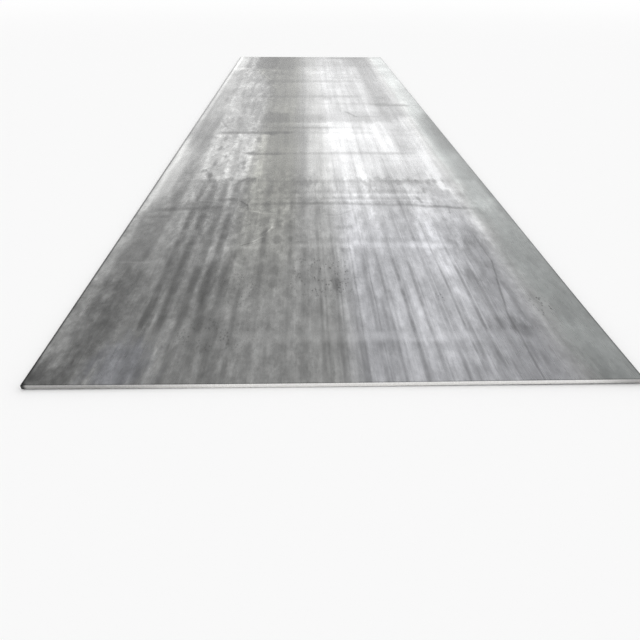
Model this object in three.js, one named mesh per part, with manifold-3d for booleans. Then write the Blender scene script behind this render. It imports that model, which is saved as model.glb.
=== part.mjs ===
// Hot-rolled steel plate, trimmed along its sides and cropped at its ends on a shear.
//
// The plate is one rolled piece and one solid. Its two mill faces are flat, and each of its four
// edges carries the section that shear blades leave. The end section and the side section meet
// in a mitre at each upright corner.
//
// Millimetres, +Z up. The origin is at the middle of the underside, the width lies along X and
// the length along Y.

import * as THREE from 'three';
import { mergeVertices } from 'three/addons/utils/BufferGeometryUtils.js';
import Module from 'manifold-3d';

// The rolled plate.
const PLATE_WIDTH = 1500;
const PLATE_LENGTH = 6000;
const PLATE_THICKNESS = 12;

// The side edges, as the trimming shear leaves them. From the top down: the surface is drawn
// over the corner, the blade rubs a square land, and the rest tears on a slope, so that the
// lower corner stands back by the gap between the blades and is broken a little.
const SIDE_ROLLOVER_DEPTH = 0.7;
const SIDE_ROLLOVER_REACH = 1.6;
const SIDE_LAND_HEIGHT = 3.2;
const SIDE_FRACTURE_SETBACK = 0.7;
const SIDE_LOWER_BREAK = 0.4;

// The two ends. The crop shear is heavier and its blades stand further apart, so the corner is
// drawn over more and the fracture leans more.
const END_ROLLOVER_DEPTH = 0.9;
const END_ROLLOVER_REACH = 2.1;
const END_LAND_HEIGHT = 3.8;
const END_FRACTURE_SETBACK = 0.9;
const END_LOWER_BREAK = 0.4;

// Each rolled-over corner is a quarter of an ellipse, drawn with twice this many chords.
const ROLLOVER_CURVE_STEPS = 4;

const sideCut = {
  rolloverDepth: SIDE_ROLLOVER_DEPTH,
  rolloverReach: SIDE_ROLLOVER_REACH,
  landHeight: SIDE_LAND_HEIGHT,
  fractureSetback: SIDE_FRACTURE_SETBACK,
  lowerBreak: SIDE_LOWER_BREAK,
};

const endCut = {
  rolloverDepth: END_ROLLOVER_DEPTH,
  rolloverReach: END_ROLLOVER_REACH,
  landHeight: END_LAND_HEIGHT,
  fractureSetback: END_FRACTURE_SETBACK,
  lowerBreak: END_LOWER_BREAK,
};

// The plate's section between two like cuts that stand `span` apart over their lands. The shape's
// x runs across the section and its y is the plate's Z.
function shearedSection(span, cut) {
  const half = span / 2;
  const landTop = PLATE_THICKNESS - cut.rolloverDepth;
  const landFoot = landTop - cut.landHeight;
  const toe = half - cut.fractureSetback;
  const heel = toe - cut.lowerBreak;
  const shoulder = half - cut.rolloverReach;

  const section = new THREE.Shape();
  section.moveTo(-heel, 0);
  section.lineTo(heel, 0);
  section.lineTo(toe, cut.lowerBreak);
  section.lineTo(half, landFoot);
  section.absellipse(shoulder, landTop, cut.rolloverReach, cut.rolloverDepth, 0, Math.PI / 2);
  section.absellipse(
    -shoulder, landTop, cut.rolloverReach, cut.rolloverDepth, Math.PI / 2, Math.PI,
  );
  section.lineTo(-half, landFoot);
  section.lineTo(-toe, cut.lowerBreak);
  section.closePath();
  return section;
}

// A bar of that section, `length` long, lying along Y with its middle at the origin.
function shearedBar(section, length) {
  const bar = new THREE.ExtrudeGeometry(section, {
    depth: length,
    bevelEnabled: false,
    curveSegments: ROLLOVER_CURVE_STEPS,
  });
  bar.rotateX(Math.PI / 2);
  bar.translate(0, length / 2, 0);
  return bar;
}

const wasm = await Module();
wasm.setup();

// A closed three.js geometry as a solid that can be cut.
function toSolid(geometry) {
  const bare = geometry.clone();
  bare.deleteAttribute('normal');
  bare.deleteAttribute('uv');
  const merged = mergeVertices(bare);
  return new wasm.Manifold(new wasm.Mesh({
    numProp: 3,
    vertProperties: Float32Array.from(merged.attributes.position.array),
    triVerts: Uint32Array.from(merged.index.array),
  }));
}

// A solid as a three.js geometry with flat faces.
function toGeometry(solid) {
  const mesh = solid.getMesh();
  const geometry = new THREE.BufferGeometry();
  geometry.setAttribute('position', new THREE.BufferAttribute(mesh.vertProperties, 3));
  geometry.setIndex(new THREE.BufferAttribute(mesh.triVerts, 1));
  geometry.computeVertexNormals();
  return geometry;
}

// The plate is what two crossing bars share: one runs the length between the side cuts, the other
// runs across the width between the end cuts. Each bar stands out past the other's cut by the
// plate's thickness.
function plateGeometry() {
  const overrun = 2 * PLATE_THICKNESS;
  const lengthwise = shearedBar(shearedSection(PLATE_WIDTH, sideCut), PLATE_LENGTH + overrun);
  const crosswise = shearedBar(shearedSection(PLATE_LENGTH, endCut), PLATE_WIDTH + overrun);
  crosswise.rotateZ(Math.PI / 2);
  return toGeometry(toSolid(lengthwise).intersect(toSolid(crosswise)));
}

const millScaleSteel = new THREE.MeshStandardMaterial({
  color: 0x74787a,
  roughness: 0.5,
  metalness: 0.9,
});

const plate = new THREE.Mesh(plateGeometry(), millScaleSteel);
plate.name = 'steel_plate';

const part = new THREE.Group();
part.add(plate);

export default part;
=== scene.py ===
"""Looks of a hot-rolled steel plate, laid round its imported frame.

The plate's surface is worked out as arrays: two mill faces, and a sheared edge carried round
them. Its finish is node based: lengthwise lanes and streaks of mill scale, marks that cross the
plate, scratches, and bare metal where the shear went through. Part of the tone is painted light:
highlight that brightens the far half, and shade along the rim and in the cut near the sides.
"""
import math

import bpy
import numpy as np
from mathutils import Matrix, Vector


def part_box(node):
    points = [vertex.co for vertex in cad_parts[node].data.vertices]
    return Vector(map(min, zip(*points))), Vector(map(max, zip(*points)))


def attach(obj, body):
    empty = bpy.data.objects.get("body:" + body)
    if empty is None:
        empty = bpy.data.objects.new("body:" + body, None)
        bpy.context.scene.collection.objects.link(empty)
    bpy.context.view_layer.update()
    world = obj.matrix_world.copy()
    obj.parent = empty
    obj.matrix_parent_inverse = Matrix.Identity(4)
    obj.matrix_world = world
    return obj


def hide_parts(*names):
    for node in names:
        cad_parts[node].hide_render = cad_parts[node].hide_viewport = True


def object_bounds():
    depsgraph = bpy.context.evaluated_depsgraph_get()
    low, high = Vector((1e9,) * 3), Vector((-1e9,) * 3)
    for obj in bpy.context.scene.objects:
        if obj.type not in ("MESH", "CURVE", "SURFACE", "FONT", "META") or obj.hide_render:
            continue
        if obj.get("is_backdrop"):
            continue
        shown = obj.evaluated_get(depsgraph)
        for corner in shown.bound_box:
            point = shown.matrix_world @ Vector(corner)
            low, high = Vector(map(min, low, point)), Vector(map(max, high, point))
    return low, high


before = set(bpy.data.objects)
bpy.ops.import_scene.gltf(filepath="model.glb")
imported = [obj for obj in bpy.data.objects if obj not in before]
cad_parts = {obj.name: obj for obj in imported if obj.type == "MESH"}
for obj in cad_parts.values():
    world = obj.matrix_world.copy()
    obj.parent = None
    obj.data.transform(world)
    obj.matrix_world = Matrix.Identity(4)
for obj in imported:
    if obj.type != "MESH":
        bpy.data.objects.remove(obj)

bl_info = {
    "name": "Hot-rolled steel plate",
    "version": (1, 0, 0),
    "blender": (4, 5, 0),
    "location": "3D View > Sidebar > Steel plate",
    "description": "A sheared steel plate with streaked mill scale, on a pale studio floor",
    "category": "Add Mesh",
}

NODE = "steel_plate"
MM = 0.001

CAD_LOW, CAD_HIGH = (tuple(float(v) for v in corner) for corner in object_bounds())
PLATE_LOW, PLATE_HIGH = (tuple(float(v) for v in corner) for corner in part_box(NODE))
PLATE_WIDTH = PLATE_HIGH[0] - PLATE_LOW[0]
PLATE_LENGTH = PLATE_HIGH[1] - PLATE_LOW[1]
PLATE_THICKNESS = PLATE_HIGH[2] - PLATE_LOW[2]


# --- Settings -----------------------------------------------------------------------------


def length(name, description, default):
    """A size in metres."""
    return bpy.props.FloatProperty(
        name=name, description=description, default=default, unit="LENGTH", precision=5
    )


def share(name, description, default):
    """A share from none to all."""
    return bpy.props.FloatProperty(
        name=name, description=description, default=default, min=0.0, max=1.0, subtype="FACTOR"
    )


def number(name, description, default):
    """A plain number."""
    return bpy.props.FloatProperty(name=name, description=description, default=default)


def count(name, description, default):
    """A whole number of pieces or steps."""
    return bpy.props.IntProperty(name=name, description=description, default=default, min=1)


def angle(name, description, degrees):
    """An angle, given in degrees and held in radians."""
    return bpy.props.FloatProperty(
        name=name, description=description, default=math.radians(degrees), subtype="ANGLE"
    )


def colour(name, description, default):
    """A linear colour."""
    return bpy.props.FloatVectorProperty(
        name=name, description=description, default=default, size=3, min=0.0, max=1.0,
        subtype="COLOR",
    )


class SideCut(bpy.types.PropertyGroup):
    """Section of the long edges, from the top face down."""

    rollover_depth: length("Rollover depth", "How far the top corner is drawn down", 0.7 * MM)
    rollover_reach: length("Rollover reach", "How far in the drawn corner starts", 1.6 * MM)
    land_height: length("Land height", "Height of the burnished band", 3.2 * MM)
    fracture_setback: length("Fracture setback", "How far the tear leans back", 0.7 * MM)
    lower_break: length("Lower break", "Size of the broken lower corner", 0.4 * MM)


class EndCut(bpy.types.PropertyGroup):
    """Section of the two ends, from the top face down."""

    rollover_depth: length("Rollover depth", "How far the top corner is drawn down", 0.9 * MM)
    rollover_reach: length("Rollover reach", "How far in the drawn corner starts", 2.1 * MM)
    land_height: length("Land height", "Height of the burnished band", 3.8 * MM)
    fracture_setback: length("Fracture setback", "How far the tear leans back", 0.9 * MM)
    lower_break: length("Lower break", "Size of the broken lower corner", 0.4 * MM)


class PlateForm(bpy.types.PropertyGroup):
    """Shape of the plate beyond its flat, square-cut solid."""

    columns: count("Columns", "Cells of each mill face across the width", 60)
    rows: count("Rows", "Cells of each mill face along the length", 170)
    edge_split: count("Edge split", "Stations on the sheared edge for each cell", 4)
    near_lift: length("Near end lift", "How far the near end curls up off the floor", 2.6 * MM)
    far_lift: length("Far end lift", "How far the far end curls up off the floor", 1.6 * MM)
    curl_reach: length("Curl reach", "How far in from an end its curl starts", 0.55)
    end_wave: length("End wave", "Height of the wave along the near end", 1.7 * MM)
    end_wave_pitch: length("End wave pitch", "Length of that wave's half", 1.08)
    long_wave: length("Long wave", "Height of the waves along the plate", 0.6 * MM)
    long_wave_pitch: length("Long wave pitch", "Length of one such wave", 1.7)
    tear: length("Tear", "How rough the torn band is", 0.14 * MM)
    land_waver: length("Land waver", "How far the foot of the land wanders", 0.5 * MM)
    burr: length("Burr", "How far the burr stands out at the lower corner", 0.25 * MM)


class ScaleFinish(bpy.types.PropertyGroup):
    """Mill scale on the two faces."""

    tone: share("Tone", "How much light plain scale sends back", 0.215)
    first_streak: length("First line", "First spray line, from the left edge", 0.222)
    streak_pitch: length("Line pitch", "Distance between the spray lines", 0.0502)
    streak_width: length("Line width", "Half width of a spray line", 0.0095)
    roughness: share("Roughness", "How matt the scale is", 0.27)


class CutFinish(bpy.types.PropertyGroup):
    """Bare metal on the sheared edges."""

    land: colour("Land", "The burnished band", (0.93, 0.92, 0.905))
    tear: colour("Tear", "The torn band under it", (0.92, 0.91, 0.89))
    # Painted shade: the cut is darkened toward the plate's left and right sides by this share.
    dull: share("Side cuts", "Brightness left in the cut at the corners and along the sides", 0.52)
    roughness: share("Roughness", "How matt the cut is", 0.30)


class Studio(bpy.types.PropertyGroup):
    """Floor, light and camera."""

    floor_radius: length("Floor radius", "Radius of the round floor", 150.0)
    fade_start: length("Fade start", "Distance at which the floor starts to turn white", 4.5)
    fade_end: length("Fade end", "Distance at which it is as white as the surround", 18.0)
    floor: colour("Floor", "Colour of the floor", (0.95, 0.95, 0.95))
    flag: colour("Flag", "Colour of the low wall that the plate mirrors", (0.25, 0.25, 0.25))
    flag_radius: length("Flag radius", "Radius of that wall, round the plate", 50.0)
    flag_height: length("Flag height", "Height of that wall", 4.4)
    far_left: number("Far left lamp", "Brightness of the far lamp on the left", 0.75)
    far_right: number("Far right lamp", "Brightness of the far lamp on the right", 0.95)
    sky: number("Sky", "Strength of the white surround", 1.0)
    lens: number("Lens", "Focal length in millimetres on a 36 mm sensor", 35.22)
    lamp_distance: length("Lamp distance", "Far lamps' distance from the near end", 30.0)
    camera_right: length("Camera right", "Camera's place across the plate", -0.0717)
    camera_back: length("Camera back", "Camera's distance before the near end", 1.2296)
    camera_height: length("Camera height", "Camera's height over the floor", 0.8881)
    heading: angle("Heading", "Turn to the right of the plate's length", 1.513)
    dip: angle("Dip", "How far the camera looks down", 29.677)
    tilt: angle("Tilt", "How far the camera leans to its left", 0.361)


# --- Surfaces -----------------------------------------------------------------------------

# Steps of the sheared edge's parts, distances of the rings beside it from its top and its foot,
# the face grids' distance from the outline, the width of the corners' mitre, and the seed of what
# the shear left.
ROLLOVER_STEPS = 5
LAND_STEPS = 2
FRACTURE_STEPS = 4
TOP_MARGINS = (20 * MM, 10 * MM, 5 * MM, 2 * MM, 0.7 * MM)
FOOT_MARGINS = (1.5 * MM, 6 * MM, 18 * MM)
GRID_INSET = 34 * MM
MITRE = 6 * MM
TEAR_SEED = 12


def cut_profile(cut, thickness):
    """Inset from the plate's outline and height over its underside, round one sheared edge.

    The rolled-over corner is a quarter ellipse from the top face to the land. The land stands
    upright, the fracture leans back in a straight line, and a chamfer ends at the underside.
    """
    turn = np.linspace(0.0, math.pi / 2, ROLLOVER_STEPS + 1)
    land_top = thickness - cut.rollover_depth
    land_foot = land_top - cut.land_height
    heel = cut.fracture_setback + cut.lower_break
    down = np.linspace(0.0, 1.0, LAND_STEPS + 1)[1:]
    back = np.linspace(0.0, 1.0, FRACTURE_STEPS + 1)[1:]
    inset = np.concatenate((
        cut.rollover_reach * (1.0 - np.sin(turn)),
        0.0 * down,
        cut.fracture_setback * back,
        (heel,),
    ))
    height = np.concatenate((
        thickness - cut.rollover_depth * (1.0 - np.cos(turn)),
        land_top - cut.land_height * down,
        land_foot + (cut.lower_break - land_foot) * back,
        (0.0,),
    ))
    return inset, height


def outline(columns, rows):
    """Places round a square from -1 to 1, from its near left corner and towards the right."""
    across = np.linspace(-1.0, 1.0, columns + 1)[:-1]
    along = np.linspace(-1.0, 1.0, rows + 1)[:-1]
    x = np.concatenate((across, np.ones(rows), -across, -np.ones(rows)))
    y = np.concatenate((-np.ones(columns), along, np.ones(columns), -along))
    return x, y


def rough_line(rng, size, reach):
    """Random heights along a closed line: noise averaged over its neighbours, at unit spread."""
    raw = rng.standard_normal(size)
    window = np.hanning(2 * reach + 1)
    wrapped = np.concatenate((raw[-reach:], raw, raw[:reach]))
    smooth = np.convolve(wrapped, window, mode="valid")
    return smooth / smooth.std()


def flatness(form, x, y):
    """Height of the plate's underside over the floor at each place.

    Each end curls up as the square of the distance into its curl. A sine wave runs along the
    near end and dies away with the curl. Two crossed sine waves run along the whole plate. The
    lowest place is taken as the floor, and the plate keeps its thickness everywhere.
    """
    from_left = x - PLATE_LOW[0]
    from_near = y - PLATE_LOW[1]
    from_far = PLATE_HIGH[1] - y
    near = np.clip(1.0 - from_near / form.curl_reach, 0.0, 1.0) ** 2
    far = np.clip(1.0 - from_far / form.curl_reach, 0.0, 1.0) ** 2
    wave = -np.sin(math.pi * from_left / form.end_wave_pitch)
    roll = np.sin(2 * math.pi * from_near / form.long_wave_pitch)
    sway = np.cos(math.pi * from_left / PLATE_WIDTH + 0.9 * from_near / form.long_wave_pitch)
    rise = form.near_lift * near + form.end_wave * near * wave + form.far_lift * far
    return rise + form.long_wave * (1.0 + roll * sway) * (1.0 - near) * (1.0 - far)


def edge_rings(form, side_cut, end_cut):
    """The sheared edge and the margins beside it, as rings that go round the plate.

    Each ring is the plate's outline drawn in by the side's inset across and by the end's inset
    along, at the height of the cut that the station belongs to. Torn steps, a wandering land and
    a burr are added to the cut's own rings. Returns x, y, z as arrays of ring by station.
    """
    rng = np.random.default_rng(TEAR_SEED)
    a, b = outline(form.columns * form.edge_split, form.rows * form.edge_split)
    stations = len(a)
    side_inset, side_height = cut_profile(side_cut, PLATE_THICKNESS)
    end_inset, end_height = cut_profile(end_cut, PLATE_THICKNESS)

    def with_margins(inset, height):
        top = np.array(TOP_MARGINS) + inset[0]
        foot = np.array(FOOT_MARGINS) + inset[-1]
        return (
            np.concatenate((top, inset, foot)),
            np.concatenate((np.full(len(top), PLATE_THICKNESS), height, np.zeros(len(foot)))),
        )

    side_inset, side_height = with_margins(side_inset, side_height)
    end_inset, end_height = with_margins(end_inset, end_height)
    at_side = np.clip((np.abs(a) - 1.0) * PLATE_WIDTH / 2 / MITRE + 1.0, 0.0, 1.0)
    at_end = np.clip((np.abs(b) - 1.0) * PLATE_LENGTH / 2 / MITRE + 1.0, 0.0, 1.0)
    end_share = at_end / (at_side + at_end)
    height = side_height[:, None] * (1 - end_share) + end_height[:, None] * end_share

    # What the shear left: the ring numbers count from the top margin's first ring.
    first = len(TOP_MARGINS)
    land_foot = first + ROLLOVER_STEPS + LAND_STEPS
    last = land_foot + FRACTURE_STEPS + 1
    out = np.zeros((len(side_inset), stations))
    for ring in range(land_foot + 1, last):
        out[ring] = form.tear * rough_line(rng, stations, 1)
    out[last - 1] += form.burr * np.clip(rough_line(rng, stations, 3), 0.0, 2.0)
    waver = form.land_waver * np.clip(rough_line(rng, stations, 5), -2.0, 2.0)
    for ring, part in ((land_foot - 1, 0.3), (land_foot, 1.0), (land_foot + 1, 0.6)):
        height[ring] += part * waver

    x = a * (PLATE_WIDTH / 2 - side_inset[:, None]) + a * (np.abs(a) == 1.0) * out
    y = b * (PLATE_LENGTH / 2 - end_inset[:, None]) + b * (np.abs(b) == 1.0) * out
    return x, y, height + flatness(form, x, y)


def face_grid(form, level):
    """One mill face inside its margins: an even grid of places at one height, bent to the waves."""
    x = np.linspace(-1.0, 1.0, form.columns + 1) * (PLATE_WIDTH / 2 - GRID_INSET)
    y = np.linspace(-1.0, 1.0, form.rows + 1) * (PLATE_LENGTH / 2 - GRID_INSET)
    x, y = np.meshgrid(x, y)
    return x, y, level + flatness(form, x, y)


def grid_rim(columns, rows):
    """Numbers of a grid's outer points, in the order that outline gives its stations."""
    wide = columns + 1
    near = np.arange(columns)
    right = np.arange(rows) * wide + columns
    far = rows * wide + columns - np.arange(columns)
    left = (rows - np.arange(rows)) * wide
    return np.concatenate((near, right, far, left))


def grid_quads(columns, rows):
    """The four corners of each cell of a grid, anticlockwise from above."""
    row, column = np.divmod(np.arange(columns * rows), columns)
    corner = row * (columns + 1) + column
    return np.stack((corner, corner + 1, corner + columns + 2, corner + columns + 1), axis=1)


def fans(rim, ring, split):
    """Triangles that join a coarse rim to a ring with several stations for each of its points.

    The first half of a point's stations meet at it, the rest meet at the next point, and one
    triangle with its base on the rim stands between them. They face up if the ring is outside.
    """
    after = np.roll(rim, -1)
    beyond = np.roll(ring, -1)
    stations = ring.reshape(len(rim), split)
    follows = beyond.reshape(len(rim), split)
    half = split // 2
    first = [(rim, stations[:, j], follows[:, j]) for j in range(half)]
    middle = [(rim, stations[:, half], after)]
    second = [(after, stations[:, j], follows[:, j]) for j in range(half, split)]
    return np.concatenate([np.stack(corners, axis=1) for corners in first + middle + second])


# Places of the plate's faces on its flat map: left, lower, right and upper limits.
CHARTS = {
    "top": (0.004, 0.004, 0.560, 0.996),
    "underside": (0.568, 0.004, 0.790, 0.996),
    "right": (0.798, 0.004, 0.858, 0.996),
    "left": (0.866, 0.004, 0.926, 0.996),
    "near": (0.934, 0.504, 0.996, 0.996),
    "far": (0.934, 0.004, 0.996, 0.496),
}


def on_chart(name, across, along):
    """Places on the map for shares across and along one chart."""
    left, low, right, high = CHARTS[name]
    return np.stack((left + (right - left) * across, low + (high - low) * along), axis=-1)


def zone_of(along):
    """The number of the top face's zone at each place along the plate."""
    borders = [PLATE_LOW[1] + low for _, low, _ in ZONES[1:]]
    return np.searchsorted(borders, along)


def plate_arrays(form, side_cut, end_cut):
    """The whole plate: its points, its triangles and quads, their map places and their finish.

    Rings carry the edge from the top margin round to the underside margin, an even grid fills
    each face, and fans of triangles join each grid to its nearest ring.
    """
    ring_x, ring_y, ring_z = edge_rings(form, side_cut, end_cut)
    rings, stations = ring_x.shape
    top = face_grid(form, PLATE_THICKNESS)
    foot = face_grid(form, 0.0)
    parts = ((ring_x, ring_y, ring_z), top, foot)
    points = np.concatenate([np.stack([v.ravel() for v in part], axis=1) for part in parts])
    top_start = rings * stations
    foot_start = top_start + top[0].size

    number_of = np.arange(rings * stations).reshape(rings, stations)
    after = np.roll(number_of, -1, axis=1)
    bands = np.stack((number_of[:-1], number_of[1:], after[1:], after[:-1]), axis=-1)

    rim = grid_rim(form.columns, form.rows)
    cells = grid_quads(form.columns, form.rows)
    top_fans = fans(rim + top_start, number_of[0], form.edge_split)
    foot_fans = fans(rim + foot_start, number_of[-1], form.edge_split)[:, ::-1]

    # The faces lie flat on the map, and the cut is unrolled: its profile across a chart and its
    # stations along it.
    def flat(name, corners, slots):
        across = (points[corners, 0] - PLATE_LOW[0]) / PLATE_WIDTH
        along = (points[corners, 1] - PLATE_LOW[1]) / PLATE_LENGTH
        return corners, on_chart(name, across, along), slots

    def top_faces(corners):
        return flat("top", corners, zone_of(points[corners, 1].mean(axis=-1)))

    def underside_faces(corners):
        return flat("underside", corners, np.full(len(corners), UNDERSIDE_SLOT))

    cut_from = len(TOP_MARGINS)
    cut_to = rings - 1 - len(FOOT_MARGINS)
    groups = [
        top_faces(bands[:cut_from].reshape(-1, 4)),
        top_faces(top_fans),
        top_faces(cells + top_start),
        underside_faces(bands[cut_to:].reshape(-1, 4)),
        underside_faces(foot_fans),
        underside_faces((cells + foot_start)[:, ::-1]),
    ]
    profile = slice(cut_from, cut_to + 1)
    steps = np.hypot(np.diff(ring_y[profile, 0]), np.diff(ring_z[profile, 0]))
    rolled = np.concatenate(((0.0,), np.cumsum(steps))) / steps.sum()
    ends, lengths = form.columns * form.edge_split, form.rows * form.edge_split
    sides = (("near", 0, ends), ("right", ends, lengths), ("far", ends + lengths, ends),
             ("left", 2 * ends + lengths, lengths))
    for name, start, size in sides:
        corners = bands[cut_from:cut_to, start:start + size]
        down = np.stack((rolled[:-1], rolled[1:], rolled[1:], rolled[:-1]), axis=-1)
        here, following = np.arange(size) / size, np.arange(1, size + 1) / size
        along = np.stack((here, here, following, following), axis=-1)
        places = on_chart(name, *np.broadcast_arrays(down[:, None], along[None]))
        slots = zone_of(points[corners, 1].mean(axis=-1))
        slots[ROLLOVER_STEPS - 1:] = CUT_SLOT
        groups.append((corners.reshape(-1, 4), places.reshape(-1, 4, 2), slots.ravel()))
    return points, groups


def mesh_from(name, points, groups):
    """A mesh of groups of like-sided faces: their points, map places and material numbers."""
    mesh = bpy.data.meshes.new(name)
    corners = np.concatenate([g[0].ravel() for g in groups])
    sizes = np.concatenate([np.full(len(g[0]), g[0].shape[1]) for g in groups])
    starts = np.concatenate(((0,), np.cumsum(sizes)[:-1]))
    mesh.vertices.add(len(points))
    mesh.vertices.foreach_set("co", points.astype(np.float32).ravel())
    mesh.loops.add(len(corners))
    mesh.loops.foreach_set("vertex_index", corners.astype(np.int32))
    mesh.polygons.add(len(sizes))
    mesh.polygons.foreach_set("loop_start", starts.astype(np.int32))
    slots = np.concatenate([g[2] for g in groups])
    mesh.polygons.foreach_set("material_index", slots.astype(np.int32))
    mesh.update(calc_edges=True)
    mesh.shade_smooth()
    flat_map = mesh.uv_layers.new(name="OFBake")
    places = np.concatenate([g[1].reshape(-1, 2) for g in groups])
    flat_map.uv.foreach_set("vector", places.astype(np.float32).ravel())
    mesh.validate(verbose=False)
    return mesh


# --- Finishes -----------------------------------------------------------------------------


class Value:
    """A number, place or colour in a tree of nodes, for use in formulas.

    The usual signs work on numbers, and each adds a node. w is the tree's wiring.
    """

    def __init__(self, w, socket):
        self.w, self.socket = w, socket

    def __add__(self, other):
        return self.w.maths("ADD", self, other)

    def __sub__(self, other):
        return self.w.maths("SUBTRACT", self, other)

    def __mul__(self, other):
        return self.w.maths("MULTIPLY", self, other)

    def __truediv__(self, other):
        return self.w.maths("DIVIDE", self, other)

    def __abs__(self):
        return self.w.maths("ABSOLUTE", self)

    __radd__, __rmul__ = __add__, __mul__

    def root(self):
        """This number's square root."""
        return self.w.maths("SQRT", self)

    def step(self, low, high, start=0.0, end=1.0):
        """A smooth step from start, where this number is low, to end, where it is high."""
        return self.w.add("ShaderNodeMapRange", self, low, high, start, end,
                          interpolation_type="SMOOTHSTEP", clamp=False)

    def drop(self, low, high):
        """A smooth step down, from 1 where this number is low to 0 where it is high."""
        return self.step(low, high, 1.0, 0.0)

    def between(self, low, high, soft):
        """1 where this number lies between low and high, with soft borders."""
        return self.step(low - soft, low + soft) * self.drop(high - soft, high + soft)

    def past(self, limit, soft):
        """1 where this number is past a limit, with a soft border. Both may be values too."""
        return ((self - limit) / soft).step(-1.0, 1.0)

    def blend(self, a, b):
        """The number that lies between a and b by this share."""
        return self.w.add("ShaderNodeMix", self, None, a, b, data_type="FLOAT")

    def coordinates(self):
        """This place's three coordinates."""
        return self.w.outputs_of("ShaderNodeSeparateXYZ", self)

    def moved(self, by):
        """This place with another added, which may be three plain numbers."""
        return self.w.add("ShaderNodeVectorMath", self, by, operation="ADD")

    def stretch(self, x, y, z=1.0):
        """This place with each of its coordinates multiplied."""
        return self.w.add("ShaderNodeVectorMath", self, (x, y, z), operation="MULTIPLY")

    def noise(self, detail=2.0, rough=0.5, shift=0.0):
        """Cloudy noise from 0 to 1 at this place, about a unit to each cloud."""
        place = self.moved((shift, 0.7 * shift, shift)) if shift else self
        return self.w.add("ShaderNodeTexNoise", place, None, 1.0, detail, rough)


class Wiring:
    """Adds nodes to one tree."""

    def __init__(self, tree):
        self.tree = tree

    def values(self, sockets):
        """What some of the tree's sockets put out, for use in formulas."""
        return [Value(self, socket) for socket in sockets]

    def feed(self, socket, value):
        """Sets a socket to a plain value, or links it to a value of the tree."""
        if isinstance(value, Value):
            self.tree.links.new(value.socket, socket)
        elif value is not None:
            socket.default_value = value

    def outputs_of(self, kind, *inputs, **settings):
        """Outputs of a new node, its inputs set or linked in order (None leaves one alone)."""
        node = self.tree.nodes.new(kind)
        for name, value in settings.items():
            setattr(node, name, value)
        for socket, value in zip(node.inputs, inputs):
            self.feed(socket, value)
        return self.values(node.outputs)

    def add(self, kind, *inputs, out=0, **settings):
        """One output of a new node."""
        return self.outputs_of(kind, *inputs, **settings)[out]

    def use(self, group, *inputs):
        """The outputs of a shared group."""
        return self.outputs_of("ShaderNodeGroup", *inputs, node_tree=GROUPS[group])

    def maths(self, operation, *values, clamp=False):
        """One sum on numbers."""
        return self.add("ShaderNodeMath", *values, operation=operation, use_clamp=clamp)

    def blend_colour(self, factor, a, b, kind="MIX"):
        """A colour between two, each a value or three plain numbers."""
        a, b = (c if isinstance(c, Value) else (*c, 1.0) for c in (a, b))
        sockets_of_other_kinds = [None] * 5
        return self.add("ShaderNodeMix", factor, *sockets_of_other_kinds, a, b, out=2,
                        data_type="RGBA", blend_type=kind)

    def shaded(self, tint, brightness):
        """A colour times a brightness."""
        grey = self.add("ShaderNodeCombineColor", brightness, brightness, brightness)
        return self.blend_colour(1.0, tint, grey, "MULTIPLY")

    def own_places(self):
        """Places in the object's own coordinates."""
        return self.add("ShaderNodeTexCoord", out=3)


def new_material(name):
    """A new material, the wiring of its nodes and its shader."""
    material = bpy.data.materials.new(name)
    material.use_nodes = True
    tree = material.node_tree
    return material, Wiring(tree), tree.nodes["Principled BSDF"]


def new_group(formula, name, inputs, outputs):
    """A node group whose outputs a formula works out from its inputs.

    The sockets are lists parted by commas. A place is a vector, and the rest are numbers.
    """
    group = bpy.data.node_groups.new(name, "ShaderNodeTree")
    for in_out, labels in (("INPUT", inputs), ("OUTPUT", outputs)):
        for label in labels.split(", "):
            kind = "NodeSocketVector" if label == "Place" else "NodeSocketFloat"
            group.interface.new_socket(label, in_out=in_out, socket_type=kind)
    w = Wiring(group)
    entries = group.nodes.new("NodeGroupInput").outputs[:len(inputs.split(", "))]
    results = formula(*w.values(entries))
    exits = group.nodes.new("NodeGroupOutput").inputs
    for socket, value in zip(exits, results if isinstance(results, tuple) else (results,)):
        w.feed(socket, value)
    return group


def spray_lines(place, first, pitch, half, seed, broken):
    """Dark lines along the plate at an even pitch, and pale lines half way between them.

    The water sprays that clean a plate stand side by side, and each leaves a line. The place
    across is counted in pitches from the first line. The nearest whole number is the line's own,
    and draws its offset, width and depth. The line fades out over its half width, and cloudy
    noise along the plate makes it come and go.
    """
    w = place.w
    x, y, _ = place.coordinates()
    waver = (place.stretch(6.0, 3.0).noise(1.0) - 0.5) * 0.008
    count_across = (x + waver - first) / pitch
    number_across = w.maths("ROUND", count_across)
    drawn = w.add("ShaderNodeTexWhiteNoise", None, number_across + seed, noise_dimensions="1D",
                  out=1)
    shift, girth, depth = w.outputs_of("ShaderNodeSeparateColor", drawn)
    aside = count_across - (number_across + (shift - 0.5) * 0.1)
    off = abs(aside) * pitch
    wide = half * (girth * 0.5 + 0.75)
    core = (off / wide).drop(0.1, 1.7)
    short = w.add("ShaderNodeCombineXYZ", number_across * 7.3, y * 9.0, seed)
    long = w.add("ShaderNodeCombineXYZ", number_across * 3.7, y * 1.3, seed)
    dashes = broken.blend(1.0, short.noise(2.0, 0.6).step(0.34, 0.62))
    spells = long.noise(1.0).step(0.3, 0.62, 0.45, 1.0)
    dark = core * dashes * spells * (depth * 0.4 + 0.6)
    pale = (off / pitch).step(0.2, 0.46) * short.noise(2.0, 0.6).step(0.35, 0.7)
    return dark, pale


# Cloudy parts of the grain: clouds to the metre across and along, and detail.
CLOUDY_GRAIN = {
    "Clouds": (5.0, 2.2, 4.0),
    "Drifts": (16.0, 3.4, 3.0),
    "Wisps": (44.0, 9.0, 3.0),
    "Lines": (95.0, 2.0, 3.0),
    "Mottle": (46.0, 26.0, 3.0),
    "Grit": (260.0, 120.0, 3.0),
    "Streams": (22.0, 0.8, 2.0),
    "Bands": (1.4, 7.0, 2.0),
}


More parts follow.
